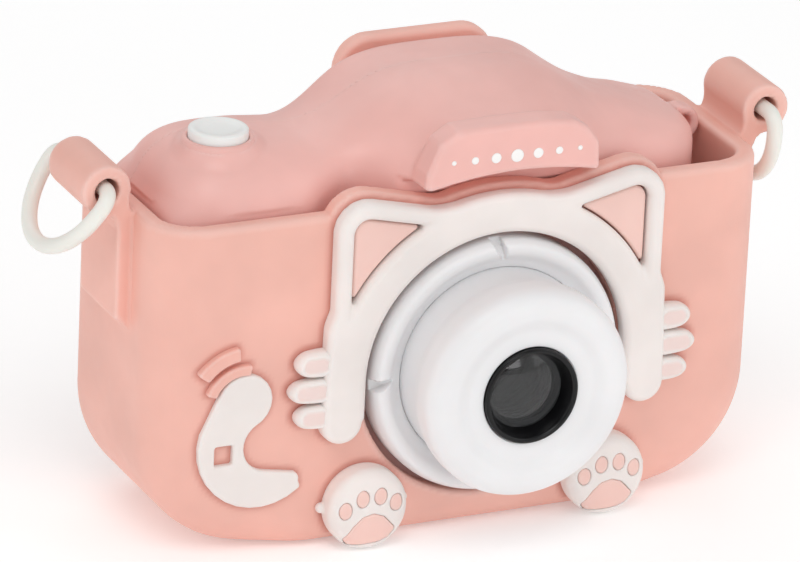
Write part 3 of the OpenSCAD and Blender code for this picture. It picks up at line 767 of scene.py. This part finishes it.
# ---- camera body ----
def body_field(x, y, z):
    """The camera body's outer form."""
    top = 11.2 - 4.2 * ramp(x, 25, 44) - 5.0 * ramp(-x, 20, 42)
    lift = np.maximum(z - SHOULDER_Z, 0)
    power = 2.6 + (y > 0) * (2.4 * ramp(-x, 24, 34) + 0.8 * ramp(x, 28, 34))
    section = ((np.abs(y) / BODY_DEPTH) ** power + (lift / top) ** 2.6) ** (1 / 2.6)
    trunk = (section - 1) * 11.5
    corner = np.where((x > 0) & (y < 0), 12, 4.5)
    seen_from_above = rect(x, y, BODY_X, 0, BODY_HALF, BODY_DEPTH + 0.05, corner)
    trunk = both(trunk, seen_from_above, 3.2 + 2.5 * ramp(-x, 25, 40))
    grip = ((np.abs(x + 30.8) / 12.6) ** 2.8 + (np.abs(y + 0.4) / 13.6) ** 2.8
            + (np.maximum(z - 44, 0) / 13.1) ** 2.8) ** (1 / 2.8)
    grip = (grip - 1) * 12.6
    recess = np.hypot(x + 14.0, y + 18.2) - 8.2
    d = melt(trunk, grip, 2.4)
    d = -melt(-d, np.maximum(recess, 46 - z), 3.0)
    past_back = y - BODY_DEPTH
    d = melt(d, both(hump(x, y, z), past_back, 5.0), 5.0)
    d = both(d, past_back, 1.5)
    collar = both(np.hypot(x - SHUTTER_X, y - SHUTTER_Y) - 5.25, np.abs(z - 53.4) - 4, 0.8)
    d = either(d, collar, 1.6)
    cavity = sleeve_side(x, y, z) + WALL + 0.25
    return both(d, cavity - 12 * ramp(z, RIM_Z, 53), 1.0)


def hump(x, y, z):
    """The hump over the lens, and the visor plate at its front."""
    half = 13.4 + 6.6 * ramp(y, -19, -3)
    crest = 59.7 + 3.1 * ramp(y, -20, -1)
    u = np.abs(x - HUMP_X) / half
    v = np.maximum(z - 44, 0) / (crest - 44)
    d = ((u**3.2 + v**3.2) ** (1 / 3.2) - 1) * 14
    d = both(d, -19.0 - y, 1.6)
    under = 52.4 + 1.5 * (1 - (np.clip(x - 5.5, -13, 13) / 13) ** 2)
    flat = outline(x, z, [(-7.4, 48), (-7.0, 54.4), (-5.5, 58.0), (-3.6, 59.2), (4.5, 59.3), (9.4, 59.2),
                          (13.1, 58.8), (14.7, 57.9), (16.0, 56.2), (16.4, 48)]) - 1.6
    visor = plate(flat, y, VISOR_Y, -15.5, 0.9)
    d = melt(d, visor, 1.2)
    return hollow_below(d, y, z, under)


def hollow_below(d, y, z, under):
    """Takes away what stands in front of the sleeve's rim and below the visor."""
    return without(d, np.maximum(z - under, y + 13.7), 0.6)


def eyelet(x, y, z):
    """The cord eyelet at the body's right end."""
    loop = disc(x, z, EYELET_X, EYELET_Z, EYELET_R)
    d = either(loop, rect(x, z, EYELET_X - 1.8, EYELET_Z, 1.8, EYELET_R, 0.3), 0.4)
    d = without(d, disc(x, z, EYELET_X, EYELET_Z + 0.1, 1.2), 0.2)
    return plate(d, y, SEAM_Y - 3.1, SEAM_Y - 0.1, 0.5)


def shutter_well(x, y, z):
    r = np.hypot(x - SHUTTER_X, y - SHUTTER_Y)
    return np.maximum(r - 4.7, 49 - z)


def make_shells():
    def hollow(x, y, z):
        d = body_field(x, y, z)
        return layer(d, -SHELL, 0)

    def front(x, y, z):
        d = either(hollow(x, y, z), eyelet(x, y, z), 0.3)
        d = without(d, shutter_well(x, y, z), 0.2)
        d = without(d, np.maximum(disc(x, z, LENS_X, LENS_Z, 7.6), y + 8), 0.3)
        return both(d, y - SEAM_Y - SEAM_LAP, 0.05)

    def rear(x, y, z):
        d = both(hollow(x, y, z), SEAM_Y - SEAM_LAP - y, 0.05)
        outer = 10.5 - y
        holes = [disc(x, z, kx, kz, 2.85) for kx, kz in KEYS.values()]
        holes += [disc(x, z, sx, sz, 2.05) for sx, sz in SCREWS]
        holes += [disc(x, z, PAD_X + GRILLE_STEP * i, GRILLE_Z + GRILLE_STEP * k, GRILLE_R)
                  for i in (-1, 0, 1) for k in (-1, 0, 1)]
        holes += [disc(x, z, EYE_X, EYE_Z, 3.15), rect(x, z, *SCREEN, 21.1, 17.1, 1.5)]
        d = without(d, np.maximum(np.minimum.reduce(holes), outer), 0.25)
        slots = np.minimum(rect(x, y, *USB_SLOT), rect(x, y, *CARD_SLOT))
        return without(d, np.maximum(slots, z - 6), 0.2)

    low, high = np.array([-43.5, -20.4, 3]), np.array([43.8, SEAM_Y, 63.2])
    finish(solid("front_shell_pink", front, low, high, 0.48, skin=body_field), BODY_PINK, node="front_shell")
    low, high = np.array([-43.5, SEAM_Y, 3]), np.array([40.2, 14, 63.2])
    finish(solid("rear_shell_pink", rear, low, high, 0.42, skin=body_field), BODY_PINK, node="rear_shell")


# ---- visor ornament ----
def make_ornament():
    """A plain row of printed marks on the visor: dots growing towards the middle."""
    def marks(x, y, z):
        row = [disc(x, z, HUMP_X + 3.2 * k, 56.3, 0.95 - 0.2 * abs(k)) for k in range(-3, 4)]
        return plate(np.minimum.reduce(row), y, *MARKS_Y, 0.05)

    low, high = np.array([HUMP_X - 12, -20.4, 54.8]), np.array([HUMP_X + 12, -19.9, 57.8])
    finish(solid("visor_marks", marks, low, high, 0.12), PRINT_WHITE)


# ---- lens ----
def make_lens():
    section = curve_corner([(NECK_R + 0.08, BASE_FRONT + 1.5), (15.7, BASE_FRONT + 1.0), (16.8, BASE_FRONT),
                            (BASE_R - 0.8, BASE_FRONT), (BASE_R, BASE_FRONT + 1.6), (BASE_R, LENS_FOOT_Y),
                            (NECK_R + 0.08, LENS_FOOT_Y)], 1.3, 6)

    def base_ring(x, y, z):
        r = np.hypot(x - LENS_X, z - LENS_Z)
        d = outline(r, y, section)
        for across, along in ((x - LENS_X, z - LENS_Z), (z - LENS_Z, LENS_X - x)):
            middle = np.sign(along) * 0.35 * (16.5 - r)
            groove = np.abs(across - middle) - 0.15 - 0.65 * ramp(r, 15.0, 18.5)
            d = without(d, np.maximum(groove, y - (BASE_FRONT + 0.9 + 1.4 * ramp(r, 16.0, 18.7))), 0.15)
        return d

    low = np.array([LENS_X - BASE_R, BASE_FRONT, LENS_Z - BASE_R])
    high = np.array([LENS_X + BASE_R, LENS_FOOT_Y, LENS_Z + BASE_R])
    finish(solid("lens_base_ring_white", base_ring, low, high, 0.32), LENS_WHITE, node="lens_base_ring")
    centre = (LENS_X, LENS_Z)
    front = BARREL_FRONT
    glass_foot = front + 3.3
    glass_r, element_r = 5.5, 5.1
    lip = [(BARREL_R - 2.6 * (1 - math.cos(a)), front + 2.6 * (1 - math.sin(a)))
           for a in np.radians(np.linspace(0, 90, 12))]
    dish = [(r, front + 0.75 * float(ramp(11.8 - r, 0, 2.4))) for r in np.linspace(12.0, 8.2, 12)]
    neck = [(NECK_R, LENS_FOOT_Y), (NECK_R, -15.0), (NECK_R + 0.1, -15.5), (NECK_R + 0.1, front + 7.6),
            (NECK_R + 0.5, front + 6.4), (BARREL_R - 0.12, front + 5.2), (BARREL_R, front + 4.2)]
    profile = ([(8.2, LENS_FOOT_Y)] + neck + lip + dish
               + [(7.25, front + 0.78), (7.1, front + 0.95), (7.1, glass_foot), (8.2, glass_foot)])
    finish(turned("lens_barrel_white", profile, centre), LENS_WHITE, node="lens_barrel")
    bezel = curve_corner([(5.6, glass_foot), (7.02, glass_foot), (7.02, front + 0.15), (6.35, front + 0.15),
                          (5.9, front + 1.2), (5.6, front + 2.2), (5.6, glass_foot)], 0.35, 4)[:-1]
    finish(turned("lens_bezel_black", bezel, centre), BLACK_GLOSS, node="lens_bezel")
    dome = [(0.0, glass_foot), (glass_r, glass_foot)]
    dome += [(r, front + 1.5 + 1.1 * (r / glass_r) ** 2) for r in np.linspace(glass_r, 0, 12)]
    finish(turned("lens_glass_clear", dome, centre), CLEAR, node="lens_glass")
    tube_in = [(5.2, -8.0), (6.6, -8.0), (6.6, front + 4.8), (8.0, front + 4.8), (8.0, front + 3.35),
               (4.5, front + 3.35), (4.4, front + 3.8)]
    for k in range(6):
        y = front + 4.6 + 1.1 * k
        tube_in += [(4.9, y), (4.9, y + 0.45), (4.55, y + 0.55), (4.55, y + 0.95)]
    tube_in += [(5.2, front + 12.5)]
    finish(turned("lens_tube_black", tube_in, centre), TUBE_BLACK, node="lens_tube")
    inner = [(0.0, -16.5), (element_r, -16.5), (element_r, -19.0)]
    inner += [(r, -21 + 2.0 * (r / element_r) ** 2) for r in np.linspace(element_r, 0, 12)]
    finish(turned("lens_element_coated", inner, centre), COATED, node="lens_element")


# ---- buttons ----
def make_buttons():
    top = SHUTTER_HIGH[2]
    collar = curve_corner([(4.27, 54.0), (4.27, 57.7), (4.9, 57.7), (5.35, 57.0), (5.35, 54.0)], 0.4, 5)
    piece = turned("shutter_collar_pink", collar, (SHUTTER_X, SHUTTER_Y), axis="z")
    finish(piece, BODY_PINK)
    cap = curve_corner([(0.0, top - 0.35), (2.6, top - 0.3), (3.5, top), (4.2, top - 0.1), (4.2, top - 5.1),
                        (4.7, top - 5.1), (4.7, top - 6.0), (1.6, top - 6.0), (1.6, SHUTTER_LOW[2]),
                        (0.0, SHUTTER_LOW[2])], 0.45, 5)
    piece = turned("shutter_button_white", cap, (SHUTTER_X, SHUTTER_Y), axis="z")
    finish(piece, KEY_WHITE, "shutter", "shutter_button")
    cap_r, foot_r = 2.7, 3.4
    arrows = {"up": 90, "down": 270, "left": 0, "right": 180}

    def icon(name, u, v):
        if name in arrows:
            a = math.radians(arrows[name])
            u, v = u * math.cos(a) + v * math.sin(a), v * math.cos(a) - u * math.sin(a)
            return outline(u, v, [(1.1, 0), (-0.6, 0.95), (-0.6, -0.95)])
        if name == "ok":
            return np.abs(np.hypot(u, v) - 1.0) - 0.22
        if name == "power":
            ring = np.maximum(np.abs(np.hypot(u, v) - 1.1) - 0.2, v - 0.75)
            return np.minimum(ring, rect(u, v, 0, 0.85, 0.18, 0.65, 0.05))
        return np.minimum.reduce([rect(u, v, 0, k, 1.1, 0.18, 0.05) for k in (-0.75, 0, 0.75)])

    for name, (kx, kz) in KEYS.items():
        low, high = span("button_" + name)

        def key(x, y, z, kx=kx, kz=kz, name=name, low=low, high=high):
            r = np.hypot(x - kx, z - kz)
            crown = 0.25 * (r / cap_r) ** 2
            d = both(r - cap_r, layer(y + crown, low[1] + 0.3, high[1]), 0.35)
            d = np.minimum(d, both(r - foot_r, layer(y, low[1], low[1] + 0.8), 0.1))
            return without(d, np.maximum(icon(name, kx - x, z - kz), high[1] - 0.35 - y), 0.08)

        def ink(x, y, z, kx=kx, kz=kz, name=name):
            return np.where(y > high[1] - 0.6, 0.5 - icon(name, kx - x, z - kz) / 0.1, 0)

        piece = solid("key_" + name, key, low, high, 0.16, tint=ink)
        finish(piece, KEY_WHITE, "key_" + name, "button_" + name)


# ---- screen ----
def make_screen():
    def window(x, y, z):
        return plate(rect(x, z, *SCREEN, 20.9, 16.9, 1.4), y, 12.7, 14.0, 0.3)

    low, high = span("lcd_window")
    finish(solid("screen_window", window, low, high, 0.4), DARK_GLASS, node="lcd_window")

    def eye(x, y, z):
        r = np.hypot(x - EYE_X, z - EYE_Z)
        return both(r - 3.1, layer(y, 12.6, 13.9), 0.3)

    low, high = span("rear_lens_window")
    finish(solid("rear_eye_window", eye, low, high, 0.2), DARK_GLASS, node="rear_lens_window")


# ---- strap rings ----
def make_ring(name, side, lean, middle):
    wire, bow, drop, corner = 1.13, 9.7, 1.9, 2.0
    reach = math.sqrt((bow - corner) ** 2 - (drop - corner) ** 2)
    tilt = math.degrees(math.atan2(corner - drop, reach))
    flat = [(v, 0.0) for v in np.linspace(-reach, reach, 22)[1:-1]]
    flat += arc(reach, corner, corner, -90, tilt, 12)
    flat += arc(0, drop, bow, tilt, 180 - tilt, 72)[1:-1]
    flat += arc(-reach, corner, corner, 180 - tilt, 270, 12)
    a = math.radians(lean)
    path = [(side * (LUG_X + v * math.sin(a)), middle + u, LUG_Z - v * math.cos(a)) for u, v in flat]
    finish(tube(name + "_white", path, wire), RING_WHITE, name, "strap_" + name)


# ---- port cover ----
def make_cover():
    ends = (0.4, 8.6)

    def flap(x, y, z):
        sheet = plate(rect(x, z, 3.5, 2.0, 14.0, 0.9, 0.5), y, *ends, 0.45)
        barrel = plate(disc(x, z, HINGE_X, HINGE_Z, 0.8), y, *ends, 0.1)
        pin = plate(disc(x, z, HINGE_X, HINGE_Z, 0.6), y, -2.5, 11, 0.1)
        notch = np.maximum(rect(x, y, 17.8, 4.5, 1.2, 1.8, 0.8), 1.6 - z)
        return without(np.minimum(either(sheet, barrel, 0.4), pin), notch, 0.2)

    low, high = span("port_cover")
    finish(solid("port_cover_pink", flap, low, high, 0.3, tint=plain), SILICONE, "port_cover", "port_cover")


# ---- inner pieces keep their CAD shape ----
INNER = {
    "front_camera_module": MODULE_BLACK, "rear_camera_module": MODULE_BLACK, "camera_flexes": FLEX_ORANGE,
    "keypad_membrane": RUBBER_GREY, "key_switches": MODULE_BLACK, "shutter_switch": MODULE_BLACK,
    "main_board": BOARD_GREEN, "battery": WRAP_GREY, "battery_leads": LEAD_RED, "speaker": BLACK_MATT,
    "microphone": STEEL, "lcd_panel": MODULE_BLACK, "lcd_gasket": BLACK_MATT, "lcd_ribbon": FLEX_ORANGE,
    "usb_socket": STEEL, "card_socket": STEEL, "memory_card": BLACK_MATT, "shell_screws": STEEL,
    "board_screws": STEEL,
}


def dress_inner():
    for node, stuff in INNER.items():
        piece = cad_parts[node]
        piece.data.materials.clear()
        piece.data.materials.append(stuff)


# ---- floor and light ----
def pale(name, grey, glow):
    m = bpy.data.materials.new(name)
    m.use_nodes = True
    shader = m.node_tree.nodes["Principled BSDF"]
    shader.inputs["Base Color"].default_value = (grey, grey, grey, 1)
    shader.inputs["Roughness"].default_value = 0.9
    shader.inputs["Emission Color"].default_value = (1, 1, 1, 1)
    shader.inputs["Emission Strength"].default_value = glow
    return m


def area_light(name, place, aim, size, power):
    data = bpy.data.lights.new(name, "AREA")
    data.size = size
    data.energy = power
    lamp = bpy.data.objects.new(name, data)
    lamp.location = place
    lamp.rotation_euler = (Vector(aim) - Vector(place)).to_track_quat("-Z", "Y").to_euler()
    bpy.context.scene.collection.objects.link(lamp)


def make_studio():
    floor_size, floor_drop = 6, 0.0002
    aim = (0, 0, 0.03)
    bpy.ops.mesh.primitive_plane_add(size=floor_size, location=(0, 0, -floor_drop))
    floor = bpy.context.object
    floor.name = "floor"
    floor.data.materials.append(pale("floor_white", 0.95, 0.21))
    world = bpy.data.worlds.new("studio")
    world.use_nodes = True
    world.node_tree.nodes["Background"].inputs["Color"].default_value = (1, 1, 1, 1)
    world.node_tree.nodes["Background"].inputs["Strength"].default_value = 0.5
    bpy.context.scene.world = world
    area_light("key", (-0.25, -0.45, 0.75), aim, 0.5, 1.9)
    area_light("fill", (0.6, -0.5, 0.35), aim, 0.6, 1.0)
    area_light("window", (0.09, -0.7, 0.2), aim, 0.2, 0.42)
    area_light("left fill", (-0.8, -0.1, 0.3), aim, 0.6, 1.0)
    area_light("back", (0.1, 0.6, 0.6), aim, 0.6, 1.0)
    bpy.context.scene.view_settings.view_transform = "Standard"


make_sleeve()
make_cat()
make_paws()
make_moon()
make_shells()
make_ornament()
make_lens()
make_buttons()
make_screen()
make_ring("ring_left", -1, 35, 1.55)
make_ring("ring_right", 1, 3, 0.1)
make_cover()
dress_inner()
make_studio()
